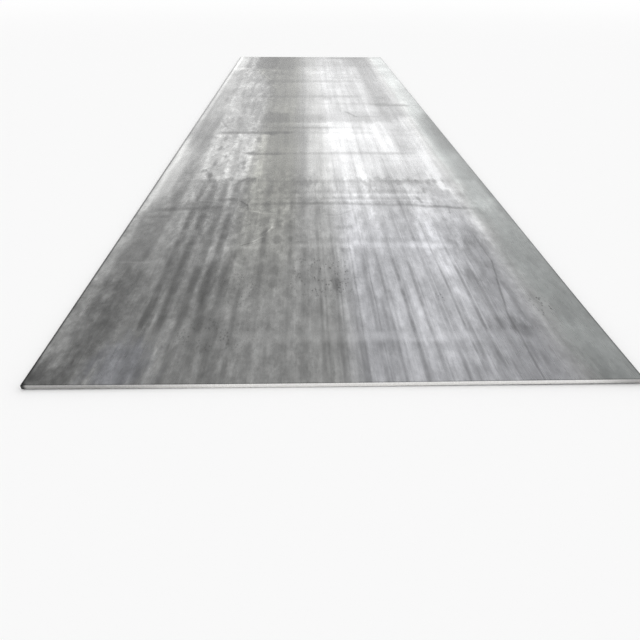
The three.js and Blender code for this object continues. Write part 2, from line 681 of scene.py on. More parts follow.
def rolled_grain(place, seed):
    """Grain of the rolled scale, from broad clouds to fine grit, then creases and knots.

    The cloudy parts are noise less a half. Most run longer along the plate than across it, and
    bands run across it. Creases are the curves where another noise passes through its middle
    value, dark on one side and pale on the other, and they come and go. Knots are spots where a
    further noise runs high.
    """
    place = place.moved(place.w.add("ShaderNodeCombineXYZ", seed, seed, seed))
    cloudy = [place.stretch(across, along).noise(detail, 0.58, 3.1 * number) - 0.5
              for number, (across, along, detail) in enumerate(CLOUDY_GRAIN.values())]
    slope = (place.stretch(22.0, 13.0).noise(shift=31.0) - 0.5) / 0.022
    spells = place.stretch(9.0, 6.0).noise(1.0, shift=37.0).step(0.42, 0.6)
    creases = slope * abs(slope).drop(0.4, 2.2) * spells
    knots = place.stretch(34.0, 10.0).noise(3.0, 0.6, 53.0).step(0.54, 0.7)
    return *cloudy, creases, knots


def cross_mark(x, y, jag, distance, middle, sag, half, low, high):
    """One mark across the plate: an arc at a distance from the near end, between two sides.

    The arc's distance falls off by the sag times the square of the way from its middle. Its
    strength falls off smoothly over its half width. Jag shifts it along.
    """
    way = x - middle
    bend = way * way * sag
    off = abs(y - (distance - bend) + jag)
    soft = (high - low) * 0.08 + 0.01
    return (off / half).drop(0.2, 1.5) * x.past(low, soft) * high.past(x, soft)


def field(x, y, jag, left, right, near, far, soft):
    """One block of ground between two sides and two distances, with ragged far and near ends."""
    shifted = y + jag
    narrow = soft * 0.2 + 0.006
    sides = x.past(left, narrow) * right.past(x, narrow)
    ends = shifted.past(near, soft) * far.past(shifted, soft)
    return sides * ends


def patch(x, y, jag, across, along, half, reach):
    """One soft patch: an ellipse about a centre, with a border that Jag makes ragged.

    The way from the centre is taken in half widths across and in half lengths along, and the
    patch fades out as that way goes from about a half to one and a half.
    """
    u = (x - across) / half
    v = (y - along) / reach
    way = (u * u + v * v).root()
    return (way + jag).drop(0.45, 1.5)


def scratch(x, y, wobble, start_x, start_y, end_x, end_y, half):
    """One scratch between two points: a thin line that wobbles a little and fades at its ends.

    The way from the start is split in two: its part along the line, as a share of the line, and
    its distance aside. Wobble is added to that distance.
    """
    run_x, run_y = end_x - start_x, end_y - start_y
    way_x, way_y = x - start_x, y - start_y
    squared = run_x * run_x + run_y * run_y
    along = (way_x * run_x + way_y * run_y) / squared
    aside = (way_x * run_y - way_y * run_x) / squared.root()
    off = abs(aside + wobble)
    return (off / half).drop(0.2, 1.2) * (along.step(0.0, 0.15) * along.drop(0.85, 1.0))


# The shared effects: the formula of each, its name, what goes in and what comes out.
EFFECTS = {
    "sprays": (spray_lines, "Spray lines",
               "Place, First, Pitch, Half width, Seed, Broken",
               "Dark, Pale"),
    "grain": (rolled_grain, "Rolled grain",
              "Place, Seed",
              ", ".join((*CLOUDY_GRAIN, "Creases", "Knots"))),
    "mark": (cross_mark, "Cross mark",
             "Across, Along, Jag, Distance, Middle, Sag, Half width, From, To",
             "Mark"),
    "field": (field, "Field",
              "Across, Along, Jag, Left, Right, Near, Far, Soft",
              "Field"),
    "patch": (patch, "Patch",
              "Across, Along, Jag, Centre across, Centre along, Half width, Half length",
              "Patch"),
    "scratch": (scratch, "Scratch",
                "Across, Along, Wobble, Start across, Start along, End across, End along, "
                "Half width",
                "Line"),
}
GROUPS = {}


def make_groups():
    """Builds the shared effects, once for all materials."""
    for key, effect in EFFECTS.items():
        GROUPS[key] = new_group(*effect)


# Rows of the tables: a name, places in millimetres from the near left corner, across and then
# along, and last the tone in hundredths of a stop, where a hundred more is twice as bright.

# Lanes along the plate: from, to, softness of the borders, and two tones, for the near end and
# for the far half. The far tones add painted highlight to the scale's own tone, so most lanes
# brighten toward the far half.
LANES = (
    ("left rim", -100, 35, 14, -5, 90),
    ("left margin", 45, 145, 12, -48, -12),
    ("left pale lane", 150, 200, 10, -12, 46),
    ("left dark lane", 200, 440, 20, -28, 18),
    ("grey lane", 460, 690, 20, 14, -15),
    ("middle lane", 690, 800, 30, 18, 56),
    ("bright lane", 800, 925, 45, 76, 118),
    ("brightest lane", 925, 1110, 30, 106, 93),
    ("last bright lane", 1110, 1190, 15, 112, 92),
    ("right dim lane", 1190, 1315, 20, 56, 42),
    ("pale line", 1318, 1360, 12, 58, 66),
    ("right margin", 1360, 1600, 25, 34, 55),
)

# Blocks of ground with an end to them: left, right, near end, far end, softness and tone. Beside
# the scale's own tone they hold painted light: the rows named glow, the bright fields and the far
# right pale rim are painted highlight over it, and the grey lane's dark rows and the far grey
# block are partly a painted reflection of a dark band.
FIELDS = (
    ("left corner shade", -100, 45, -500, 150, 60, -120),
    ("left pale window", 280, 345, 185, 320, 20, 40),
    ("left pale lane's foot", 160, 212, 230, 420, 60, -26),
    ("right lower shade", 1100, 1190, -500, 240, 40, -42),
    ("left dark block", 200, 435, 460, 720, 60, -16),
    ("left middle block", 200, 420, 950, 1620, 60, -16),
    ("left dark run", 215, 345, 860, 1625, 30, -40),
    ("middle pale field", 745, 900, 880, 1260, 50, 32),
    ("right pale field", 1195, 1375, 860, 1540, 50, 50),
    ("right bright ground", 1105, 1250, 560, 1620, 120, 36),
    ("right bright ground's core", 1135, 1190, 840, 1500, 60, 14),
    ("bright lane's border", 895, 950, 420, 1300, 100, 26),
    ("grey lane's left", 450, 500, 850, 1750, 80, 22),
    ("right margin's border", 1352, 1400, 400, 1150, 120, 20),
    ("left rim's bright field", -100, 100, 1320, 2400, 100, 62),
    ("left rim's inner band", 28, 90, 1360, 2250, 80, 66),
    ("left bright field", 170, 475, 1640, 2530, 20, 40),
    ("left bright field's core", 290, 400, 1670, 2530, 40, 26),
    ("middle bright field", 700, 780, 1620, 2500, 80, 28),
    ("bright field's left", 770, 930, 1640, 2850, 40, 30),
    ("bright field's right", 930, 1190, 1640, 2850, 40, 36),
    ("bright field's rim", 1190, 1320, 1560, 2100, 100, 125),
    ("bright field's far rim", 1190, 1320, 2100, 2900, 100, 66),
    ("bright field's seam", 1255, 1285, 1600, 2450, 60, 18),
    ("right bright lane", 1290, 1400, 1450, 3000, 60, 70),
    ("right bright lane's foot", 1300, 1350, 1330, 1450, 40, 40),
    ("bright ground's far part", 790, 1330, 1320, 1570, 50, 16),
    ("far dim ground", 450, 1330, 2600, 3000, 60, -12),
    ("far right dim ground", 950, 1300, 3250, 4000, 150, -16),
    ("left foot's glow", 205, 250, -500, 190, 30, 30),
    ("right glow", 1375, 1475, 1230, 1620, 60, 64),
    ("right far glow", 1325, 1450, 1600, 2720, 200, 46),
    ("right edge's far glow", 1450, 1500, 2000, 2500, 60, 26),
    ("grey lane's far shade", 465, 545, 2060, 3120, 60, -20),
    ("left rim's shade", 40, 145, 2150, 2950, 100, -72),
    ("right margin's glow", 1350, 1600, 550, 1020, 100, 16),
    ("left rim's second shade", -100, 145, 2520, 2950, 100, -22),
    ("right edge shade", 1450, 1600, 2100, 3150, 150, -42),
    ("grey lane's border", 405, 468, 2520, 5200, 50, -36),
    ("grey lane's foot", 410, 578, 2600, 3130, 45, -26),
    ("grey lane's dark block", 405, 578, 2820, 3130, 45, -66),
    ("middle dim block", 600, 820, 2820, 3050, 40, -34),
    ("right dim block", 940, 1245, 2840, 3160, 50, -36),
    ("far left glow", -100, 105, 4000, 9000, 400, 66),
    ("far middle lane", 610, 800, 4100, 9000, 300, 20),
    ("far grey block", 218, 598, 5120, 9000, 100, -105),
    ("far grey block's left", 218, 410, 5150, 9000, 80, -115),
    ("far left corner glow", -100, 120, 5050, 9000, 100, 75),
    ("far grey block's foot", 330, 598, 4200, 5120, 120, -24),
    ("far dim block", 600, 1350, 5330, 9000, 150, -54),
    ("far dim block's right", 1090, 1340, 5230, 9000, 200, -66),
    ("far dark lane", 1170, 1300, 3250, 5300, 250, -56),
    ("right pale rim", 1360, 1600, 3080, 9000, 100, 56),
    ("right pale rim's foot", 1350, 1460, 2960, 3480, 100, 24),
)

# Marks across the plate: distance, middle, sag a metre from the middle, half width, from, to and
# tone.
CROSS_MARKS = (
    ("roll arc", 1294, 720, 160, 16, 455, 740, -66),
    ("roll arc, middle", 1292, 720, 160, 16, 720, 1370, -50),
    ("roll arc, right", 1284, 720, 150, 16, 1165, 1350, -25),
    ("roll arc, left", 1250, 420, 300, 22, 90, 335, -75),
    ("left lower arc", 1140, 100, 0, 17, 60, 140, -42),
    ("left dash", 1314, 250, 0, 14, 215, 295, -32),
    ("left second dash", 1342, 350, 0, 14, 305, 395, -45),
    ("pale wrinkle", 1383, 360, 0, 10, 335, 380, 55),
    ("left far dash", 2100, 400, 0, 24, 375, 425, -70),
    ("pale line past the arc", 1330, 900, 160, 9, 740, 1200, 28),
    ("thin dark line", 1362, 800, 100, 12, 380, 1180, -24),
    ("pale band past it", 1404, 950, 100, 16, 780, 1200, 26),
    ("dim band", 1450, 950, 100, 24, 420, 1220, -22),
    ("fields' foot", 1600, 750, 0, 20, 100, 1310, -22),
    ("pale arc", 848, 850, 120, 24, 280, 1220, 30),
    ("pale arc's shade", 905, 780, 120, 20, 550, 1180, -16),
    ("pale band", 215, 900, 20, 24, 480, 1220, 19),
    ("pale band's shade", 166, 900, 20, 22, 550, 1250, -11),
    ("left tick", 706, 100, 0, 8, 50, 160, 30),
    ("second spray mark", 2092, 800, 0, 28, 360, 1240, -42),
    ("second spray mark, left", 2075, 400, 0, 22, 400, 560, -80),
    ("far dark line", 2556, 320, 300, 30, 180, 470, -160),
    ("far dark line's end", 2560, 550, 0, 32, 460, 610, -100),
    ("far dark line, right", 2560, 900, 0, 30, 620, 1100, -34),
    ("far faint line", 2690, 750, 0, 26, 400, 1050, -18),
    ("far short line", 2684, 700, 0, 24, 575, 840, -50),
    ("far smudge's line", 3372, 1300, 0, 34, 1270, 1420, -60),
    ("far pale line", 2790, 600, 0, 34, 400, 840, 40),
    ("third mark, right", 3440, 1000, 0, 40, 800, 1200, -30),
    ("third mark", 3720, 700, 0, 55, 200, 1100, -55),
    ("fourth mark", 4420, 750, 0, 70, 360, 1120, -45),
    ("fifth mark", 4950, 1000, 0, 60, 850, 1300, -14),
    ("last dark line", 5880, 1100, 0, 55, 940, 1300, -80),
    ("last faint line", 5910, 800, 0, 60, 570, 1450, -25),
)

# Soft patches: across, along, half width, half length and tone.
PATCHES = (
    ("left corner's rim", 0, 0, 16, 110, -80),
    ("left second bruise", 400, 640, 40, 130, -20),
    ("left corner bruise", 70, 32, 30, 40, -26),
    ("left rim's pale foot", 52, 130, 26, 75, 52),
    ("left margin's pale foot", 124, 60, 14, 75, 46),
    ("left margin's thin shade", 99, 140, 10, 80, -40),
    ("left pale lane's dim foot", 161, 60, 12, 90, -28),
    ("left pale lane's edge", 196, 90, 8, 110, 22),
    ("left first streak's foot", 212, 120, 8, 100, -24),
    ("left margin's upper shade", 124, 550, 30, 120, -30),
    ("left rim's upper shade", 66, 500, 28, 70, -24),
    ("left pale lane's start", 146, 200, 14, 50, 22),
    ("left margin dark", 125, 380, 45, 300, -40),
    ("left far dark", 275, 1130, 22, 40, -45),
    ("left arc's knot", 126, 1232, 26, 30, -40),
    ("left margin's glow", 78, 1000, 34, 190, 22),
    ("left margin's upper glow", 118, 1620, 16, 120, 30),
    ("left pale lane's upper glow", 154, 1370, 16, 60, 30),
    ("left near spot", 375, 550, 26, 110, -20),
    ("left first streak's far foot", 228, 215, 16, 30, -26),
    ("right near pale spot", 1128, 225, 20, 40, 24),
    ("right lane's pale spot", 1175, 445, 60, 70, 26),
    ("grey lane's pale spot", 525, 400, 60, 60, 22),
    ("right lower bruise's top", 1300, 315, 45, 35, -20),
    ("right cloud's lower glow", 1308, 780, 40, 70, 22),
    ("right margin's foot", 1430, 0, 60, 50, -22),
    ("grey lane's upper pale spot", 525, 740, 60, 110, 16),
    ("right middle pale spot", 875, 215, 18, 30, 22),
    ("left small knot", 230, 890, 14, 35, -45),
    ("left brown knot", 268, 850, 20, 28, -32),
    ("left lane's knot", 277, 1148, 12, 22, -60),
    ("left lane's second knot", 270, 1028, 12, 32, -40),
    ("left streak's spot", 380, 960, 12, 36, -45),
    ("left streak's lower spot", 423, 727, 14, 38, -35),
    ("left far knot", 231, 1692, 14, 36, -150),
    ("left far knot's foot", 250, 1612, 15, 28, -60),
    ("left far speck", 381, 1820, 12, 34, -75),
    ("dull field's start", 972, 1540, 32, 60, -34),
    ("far pale spot", 825, 1850, 28, 180, 22),
    ("far second pale spot", 1025, 1850, 28, 180, 20),
    ("far third pale spot", 480, 1850, 26, 180, 22),
    ("far fourth pale spot", 325, 2450, 30, 300, 24),
    ("gouge's spot", 526, 900, 7, 20, -60),
    ("middle dark blob", 771, 540, 12, 48, -60),
    ("middle smudge", 676, 640, 34, 70, -22),
    ("middle upper smudge", 669, 868, 20, 16, -32),
    ("middle right smudge", 822, 803, 20, 16, -26),
    ("middle left blotch", 576, 531, 13, 32, -34),
    ("middle left second blotch", 575, 633, 13, 30, -26),
    ("middle pale spot", 775, 940, 30, 90, 34),
    ("right corner shade", 1418, 80, 24, 90, -20),
    ("right cloud", 1290, 900, 45, 65, -36),
    ("right bruise's core", 1266, 600, 26, 60, -18),
    ("right lower bruise's core", 1282, 242, 32, 36, -52),
    ("left streak's foot", 228, 350, 22, 90, -62),
    ("left lane's middle shade", 375, 640, 22, 160, -20),
    ("left upper shade", 375, 1550, 26, 70, -24),
    ("left upper glow", 175, 1550, 22, 70, 22),
    ("right upper shade", 975, 1550, 24, 70, -24),
    ("right upper second shade", 1125, 1550, 24, 70, -22),
    ("right upper spot", 1025, 1390, 24, 50, 24),
    ("grey lane's upper glow", 575, 1390, 24, 60, 24),
    ("grey lane's middle glow", 525, 1140, 26, 90, 24),
    ("grey lane's foot glow", 575, 145, 26, 50, 24),
    ("right margin's near shade", 1425, 350, 26, 90, -22),
    ("right end's shade", 1200, 5800, 60, 160, -34),
    ("far middle shade", 725, 3600, 30, 300, -26),
    ("right near foot's shade", 1100, 60, 40, 40, -18),
    ("right near foot's glow", 1250, 60, 40, 40, 15),
    ("near band's shade", 1000, 220, 50, 22, -18),
    ("near band's glow", 1150, 168, 50, 26, 24),
    ("left near shade", 475, 145, 22, 60, -26),
    ("middle near shade", 675, 150, 24, 130, -24),
    ("left near glow", 425, 50, 22, 60, 22),
    ("right near shade", 1175, 40, 26, 70, -22),
    ("right middle glow", 1045, 950, 40, 140, 20),
    ("right upper glow", 1225, 1130, 24, 90, 20),
    ("middle upper glow", 820, 1440, 30, 140, 18),
    ("far dark line's knot", 492, 2545, 36, 36, -150),
    ("far dark line's spot", 570, 2550, 15, 36, -110),
    ("far knot", 225, 2182, 15, 46, -150),
    ("far spot", 392, 2094, 17, 32, -120),
    ("far small knot", 373, 1907, 13, 40, -95),
    ("left far knot's head", 230, 1890, 10, 44, -90),
    ("left far knot's side", 194, 1770, 11, 34, -110),
    ("far left small spot", 223, 2413, 12, 50, -85),
    ("far left small spot's fellow", 417, 2400, 12, 50, -70),
    ("right lane's spot", 1074, 903, 9, 22, -55),
    ("right pale blob", 1340, 1072, 12, 45, 30),
    ("right bruise", 1255, 620, 55, 80, -22),
    ("right lower bruise", 1260, 280, 70, 35, -28),
    ("pale block", 1345, 1040, 20, 90, 28),
    ("pale spike", 1300, 1550, 12, 60, 60),
    ("dull field", 1130, 1585, 85, 38, -48),
    ("dull field's end", 1260, 1600, 60, 35, -30),
    ("dull field, left", 370, 1625, 90, 30, -42),
    ("ragged spot", 435, 1650, 30, 30, -50),
    ("middle dull spot", 700, 1570, 50, 50, -70),
    ("left knot", 355, 1352, 36, 18, -42),
    ("middle knot", 640, 1445, 16, 32, -32),
    ("dull spot", 1085, 1440, 90, 30, -20),
    ("smudge", 825, 1020, 35, 22, -42),
    ("far smudge", 1235, 3410, 55, 60, -130),
    ("far right smudge", 1350, 3400, 50, 45, -55),
    ("far second smudge", 1245, 3670, 40, 60, -60),
    ("far middle smudge", 845, 3650, 30, 60, -50),
    ("far left smudge", 430, 3770, 20, 90, -34),
    ("block's spot", 385, 4350, 30, 120, -50),
    ("far left spot", 145, 5360, 36, 170, -100),
    ("far left knot", 171, 4700, 16, 120, -80),
    ("far left second knot", 210, 3900, 16, 90, -70),
    ("far left third knot", 108, 3620, 14, 70, -70),
    ("far left fourth knot", 393, 4330, 18, 90, -75),
    ("last spot", 1010, 5450, 45, 120, -30),
)

# Fields of dark specks: across, along, half width, half length and tone.
SPECKED = (
    ("middle specks", 730, 600, 110, 150, -145),
    ("left specks", 480, 520, 80, 130, -60),
    ("lower left specks", 430, 230, 130, 80, -60),
    ("right margin specks", 1380, 385, 30, 75, -135),
    ("right specks", 1180, 1080, 140, 120, -40),
    ("right lane's specks", 1085, 443, 14, 30, -100),
    ("right foot's specks", 1178, 370, 14, 40, -110),
)

# Scratches: start and end, each across and along, half width and tone.
SCRATCHES = (
    ("hair's head", 1304, 980, 1313, 640, 3.4, -32),
    ("hair", 1316, 740, 1262, 340, 3.6, -62),
    ("hair's tail", 1264, 430, 1255, -70, 3.4, -50),
    ("left streak", 223, 240, 226, 560, 13, -32),
    ("left second streak", 270, 220, 266, 720, 15, -42),
    ("left third streak", 326, 460, 324, 660, 12, -30),
    ("left fourth streak", 363, 380, 366, 720, 15, -40),
    ("left fifth streak", 411, 430, 413, 780, 14, -44),
    ("streak at the left", 474, -60, 476, 700, 11, -17),
    ("streak left of the middle", 421, -60, 421, 220, 10, -26),
    ("streak right of the middle", 829, -60, 825, 500, 9, -34),
    ("streak at the right", 1137, 20, 1128, 700, 9, -30),
    ("gouge", 529, 955, 558, 1034, 4.5, 62),
    ("gouge's foot", 480, 868, 528, 936, 5, 62),
    ("gouge's start", 442, 838, 496, 880, 6, -60),
    ("gouge's shade", 512, 945, 538, 1000, 6, -50),
    ("nick", 404, 1336, 444, 1264, 8, -130),
    ("nick's branch", 446, 1362, 440, 1266, 5.5, -80),
    ("nick's tail", 439, 1290, 448, 1202, 6, -110),
    ("long crease", 196, 1800, 232, 1690, 6.5, -60),
    ("long crease's foot", 228, 1720, 246, 1550, 11, -65),
    ("long crease's tail", 240, 1590, 226, 1350, 7, -40),
    ("right nick", 1162, 1385, 1172, 1285, 8.5, -65),
    ("right spot", 1208, 1500, 1205, 1420, 9, -50),
    ("short line", 1274, 1240, 1264, 1160, 4, -45),
    ("curved rub", 744, 1160, 815, 1150, 8, -30),
    ("curved rub's end", 810, 1150, 892, 1230, 8, -30),
    ("pale crease by the nick", 450, 1214, 518, 1174, 7.5, 60),
    ("pale crease's end", 505, 1180, 568, 1166, 8, 40),
    ("fields' ragged foot", 355, 1540, 417, 1660, 10, -75),
    ("fields' ragged foot, end", 402, 1656, 474, 1628, 13, -65),
    ("left far nick", 108, 2430, 112, 2240, 9, -35),
    ("far pale streak", 838, 2940, 831, 2110, 24, 26),
    ("far second pale streak", 924, 2940, 905, 2110, 22, 20),
    ("far third pale streak", 1100, 2850, 1104, 2060, 26, 26),
    ("far kink", 460, 2560, 500, 2480, 15, -120),
    ("grey lane's line", 566, 2620, 566, 2200, 7, -35),
    ("pale crease", 140, 2880, 205, 2640, 8, 45),
    ("pale crease's shade", 156, 2880, 222, 2640, 8, -42),
    ("far crease", 955, 3170, 1025, 2980, 15, -90),
    ("far crease's run", 990, 3000, 1190, 3010, 30, -34),
)

# The rows of each kind of mark. Specks are patches that are filled with dots.
MARKS = {
    "specks": SPECKED,
    "field": FIELDS,
    "mark": CROSS_MARKS,
    "patch": PATCHES,
    "scratch": SCRATCHES,
}

# The top face is finished in zones along the plate, each with the marks that reach into it: name
# and limits in metres.
ZONES = (
    ("near", -1.0, 0.76),
    ("middle", 0.76, 1.18),
    ("upper", 1.18, 1.56),
    ("far", 1.56, 2.68),
    ("last", 2.68, 9.0),
)
UNDERSIDE_SLOT = len(ZONES)
CUT_SLOT = UNDERSIDE_SLOT + 1

# The seed of the underside's grain, the brightest that scale gets with the softness of that cap,
# the reach of the near left corner's painted shade, and the blue spot's centre, half width and
# half length.
UNDERSIDE_SEED = 31.0
BRIGHTEST = 0.93
CAP_SOFTNESS = 0.25
SHADED_CORNER_SIZE = 10 * MM
BLUE_SPOT = (0.215, 0.08, 0.07, 0.13)

# Slight colours of the scale.
PLAIN_TINT = (0.997, 1.0, 0.985)
COOL_TINT = (0.982, 0.990, 1.035)
BLUE_TINT = (0.975, 0.990, 1.045)
GREEN_TINT = (0.955, 1.0, 0.985)
WARM_TINT = (1.0, 1.0, 0.90)


def in_units(row, tones=1):
    """A row without its name: its places in metres, and its last tones in stops."""
    return (*(place * MM for place in row[1:-tones]), *(tone / 100 for tone in row[-tones:]))


def stretch_of(kind, values):
    """How near and how far along the plate a mark reaches."""
    if kind == "field":
        near, far, soft = values[2:5]
        return near - 2 * soft, far + 2 * soft
    if kind == "mark":
        distance, middle, sag, half, low, high = values
        bend = sag * max((low - middle) ** 2, (high - middle) ** 2)
        return distance - bend - 2 * half, distance + 2 * half
    if kind == "scratch":
        return min(values[1], values[3]), max(values[1], values[3])
    along, reach = values[1], values[3]
    return along - 2 * reach, along + 2 * reach


def marks_in(low, high, margin=80 * MM):
    """The marks that reach into a zone, or nearly so: kind, values and tone."""
    for kind, rows in MARKS.items():
        for row in rows:
            *values, tone = in_units(row)
            near, far = stretch_of(kind, values)
            if near - margin < high and far + margin > low:
                yield kind, values, tone


def shaded_corner_mask(x, y, left, near):
    """1 round the plate's near left corner at left and near, where shade is painted."""
    return x.w.use("patch", x, y, 0.0, left, near, SHADED_CORNER_SIZE, SHADED_CORNER_SIZE)[0]


class Scale:
    """Mill scale in the making: one face's places, its grain and its masks.

    x counts from the left edge and y from the near end, in metres. A mask is 1 where its name
    holds and 0 elsewhere, with a smooth border. Tones are in stops and add up.
    """

    def __init__(self, w, finish, seed):
        self.w, self.finish, self.seed = w, finish, seed
        from_corner = (-PLATE_LOW[0], -PLATE_LOW[1], 0.0)
        self.place = w.add("ShaderNodeMapping", w.own_places(), from_corner)
        x, y, _ = self.place.coordinates()
        self.x, self.y = x, y
        (self.clouds, self.drifts, self.wisps, self.lines, self.mottle, self.grit, self.streams,
         self.bands, self.creases, self.knots) = w.use("grain", self.place, seed)
        self.far = y.step(0.15, 1.7)
        self.last_part = y.step(3.4, 4.6)
        self.in_band = y.between(0.185, 0.245, 0.014)
        self.left_side = x.drop(0.45, 0.6)
        self.right_side = x.step(0.55, 0.8)
        self.left_margin = x.drop(0.14, 0.22)
        self.right_margin = x.step(1.29, 1.38)
        self.coarse = self.left_side * y.step(1.6, 3.2)
        self.rim_calm = x.drop(0.06, 0.14) * y.step(1.1, 1.5)
        self.far_calm = y.step(1.55, 1.9) * x.step(0.43, 0.5)
        self.right_calm = self.right_margin * y.step(1.35, 1.6) * y.drop(3.0, 3.6)

    def broad_tones(self):
        """Clouds, drifts, streams and bands, and the lanes that sway along the plate."""
        x, far = self.x, self.far
        smooth_margin = x.step(1.34, 1.42, 1.0, 0.4) * self.right_calm.blend(1.0, 0.4)
        coarser = 1.0 + self.coarse * 0.4
        drifting = (far.blend(1.2, 2.2) * self.left_side.blend(0.9, 1.3) * smooth_margin
                    * (coarser - self.far_calm * 0.75) * self.rim_calm.blend(1.0, 0.4)
                    * self.in_band.blend(1.0, 0.35))
        far_right = far * x.step(0.6, 0.8) * smooth_margin
        streaming = far * 0.4 + far_right * 0.9
        banded = (far * 0.3 + far_right * 0.2) * self.last_part.blend(1.0, 1.7)
        tone = (self.clouds * 1.6 + self.drifts * drifting + self.streams * streaming
                + self.bands * banded)
        swayed = x + self.clouds * 0.04
        for row in LANES:
            low, high, soft, near_tone, far_tone = in_units(row, 2)
            lane = swayed.between(low, high, soft)
            # Toward the far half each lane takes its far tone, which holds painted highlight.
            tone += lane * far.blend(near_tone, far_tone)
        return tone

    def spray_tones(self):
        """Lines left by the sprays: broad and soft on the left, fine on the right."""
        w, x, y, right_side = self.w, self.x, self.y, self.right_side
        first, pitch, width = (self.finish.first_streak, self.finish.streak_pitch,
                               self.finish.streak_width)
        half = right_side.blend(width, 0.5 * width)
        broken = right_side.blend(y.step(0.45, 0.8, 0.65, 0.95), 0.6)
        dark, pale = w.use("sprays", self.place, first, pitch, half, self.seed, broken)
        second = w.use("sprays", self.place, first + 0.27 * pitch, pitch, half * 0.5,
                       self.seed + 40.0, broken)[0]
        streaked = x.step(0.16, 0.22) * x.drop(1.16, 1.3)
        left = (y.step(0.05, 0.45, 0.45, 0.75) * y.step(0.6, 0.95, 1.0, 1.85)
                * y.step(1.45, 1.7, 1.0, 0.38))
        right = y.step(0.02, 0.25, 0.55, 0.88) * y.step(0.4, 1.1, 1.0, 0.42)
        kept = (streaked * y.step(1.5, 2.3, 1.0, 0.7)
                * x.between(0.45, 0.76, 0.04).blend(1.0, 0.65) * right_side.blend(left, right)
                * self.in_band.blend(1.0, 0.55))
        dotted = self.mottle * 2.2 + self.grit * 1.6 + 1.0
        tone = pale * kept * 0.34 - dark * kept * dotted * 1.15
        return tone - second * kept * 0.6

    def fine_tones(self):
        """Wisps, lines, mottle and grit, each calmer where the scale lies smooth."""
        x, y, far, right_side = self.x, self.y, self.far, self.right_side
        busy = (x.step(1.27, 1.43, 1.0, 0.45) * self.rim_calm.blend(1.0, 0.18)
                * x.step(0.07, 0.23).blend(y.step(0.6, 1.1, 1.15, 1.6), 1.0)
                * self.in_band.blend(1.0, 0.7) * self.right_calm.blend(1.0, 0.4)
                * self.far_calm.blend(1.0, self.last_part.blend(0.35, 0.7)))
        streaky = (self.left_margin + self.right_margin).blend(1.0, 0.4)
        rougher = 1.0 + self.coarse * self.last_part.blend(0.3, 0.9)
        wispy = busy * far.blend(1.2, 1.5) * rougher * streaky.blend(0.5, 1.0)
        lined = busy * far.blend(0.8, 0.5) * right_side.blend(0.6, 1.0) * streaky
        left_mottle = (y.step(0.6, 1.2, 1.45, 2.1)
                       * self.left_margin.blend(1.0, y.step(0.5, 0.8, 1.4, 0.5)))
        right_mottle = self.right_margin.blend(0.7, 1.5)
        mottled = busy * right_side.blend(left_mottle, right_mottle)
        left_grit = (far.blend(0.6, 0.25) * self.far_calm.blend(1.0, 0.3)
                     * self.rim_calm.blend(1.0, 0.4))
        gritty = right_side.blend(left_grit, far.blend(0.3, 0.1))
        return (self.wisps * wispy + self.lines * lined + self.mottle * mottled
                + self.grit * gritty)

    def creased_tones(self):
        """Creases and, farther out, knots of the left side, but for its rim."""
        y = self.y
        off_rim = self.left_side * self.rim_calm.blend(1.0, 0.2)
        creased = (off_rim * y.step(0.65, 1.15) * y.step(1.6, 1.75, 1.0, 0.4)
                   * self.left_margin.blend(1.0, y.step(1.2, 1.5, 0.3, 1.0)))
        knotty = off_rim * y.step(1.55, 1.9) * self.last_part.blend(0.45, 0.9)
        return self.creases * creased * 0.42 - self.knots * (knotty + creased * 0.3)

    def painted_rim_shade(self):
        """Painted shade on the drawn-down rim, most along the sides and at the near left corner."""
        x, y = self.x, self.y
        # Painted shade: a dark band that widens farther out, dark ends, and a dark near left
        # corner.
        reach = y * 0.0016 + 4 * MM
        left = (x / reach).step(0.8, 1.6, -1.9, 0.0)
        right = x.step(PLATE_WIDTH - 6 * MM, PLATE_WIDTH - 2 * MM, 0.0, -1.3)
        near = y.step(1 * MM, 5 * MM, -0.6, 0.0)
        far = y.step(PLATE_LENGTH - 30 * MM, PLATE_LENGTH - 10 * MM, 0.0, -0.7)
        return left + right + near + far - 1.8 * shaded_corner_mask(x, y, 0.0, 0.0)

    def marked(self, tone, marks):
        """A tone with the marks of a zone added, each kind made ragged by the grain."""
        w, wisps = self.w, self.wisps
        shifts = {
            "specks": 0.0,
            "field": wisps * 0.12 + self.drifts * 0.16,
            "mark": wisps * 0.03 + self.clouds * 0.03,
            "patch": wisps * 2.2,
            "scratch": wisps * 0.01,
        }
        dots = w.add("ShaderNodeTexVoronoi", self.place.stretch(130.0, 60.0), None, 1.0)
        crowds = self.place.stretch(40.0, 16.0).noise(2.0, 0.6, 47.0)
        specked = dots.drop(0.16, 0.44) * crowds.step(0.44, 0.6)
        for kind, values, strength in marks:
            group = "patch" if kind == "specks" else kind
            mask = w.use(group, self.x, self.y, shifts[kind], *values)[0]
            if kind == "specks":
                mask *= specked
            tone += mask * strength
        return tone

    def tint(self):
        """The scale's slight colour.

        The bright lanes are cool, a spot near the left corner is blue, the right margin is
        greenish, and the grey lane turns warm farther out.
        """
        w, x, y = self.w, self.x, self.y
        cool = x.between(0.8, 1.35, 0.06) * y.step(0.8, 1.7, 1.0, 0.45)
        blue = w.use("patch", x, y, self.wisps * 2.2, *BLUE_SPOT)[0]
        green = (x + self.drifts * 0.12).step(1.34, 1.42)
        warm = (x + y.step(4.0, 5.2, 0.0, 0.17)).step(0.37, 0.47) * x.drop(0.59, 0.69) * self.far
        tint = w.blend_colour(cool, PLAIN_TINT, COOL_TINT)
        for mask, hue in ((blue, BLUE_TINT), (green, GREEN_TINT), (warm, WARM_TINT)):
            tint = w.blend_colour(mask, tint, hue)
        return tint


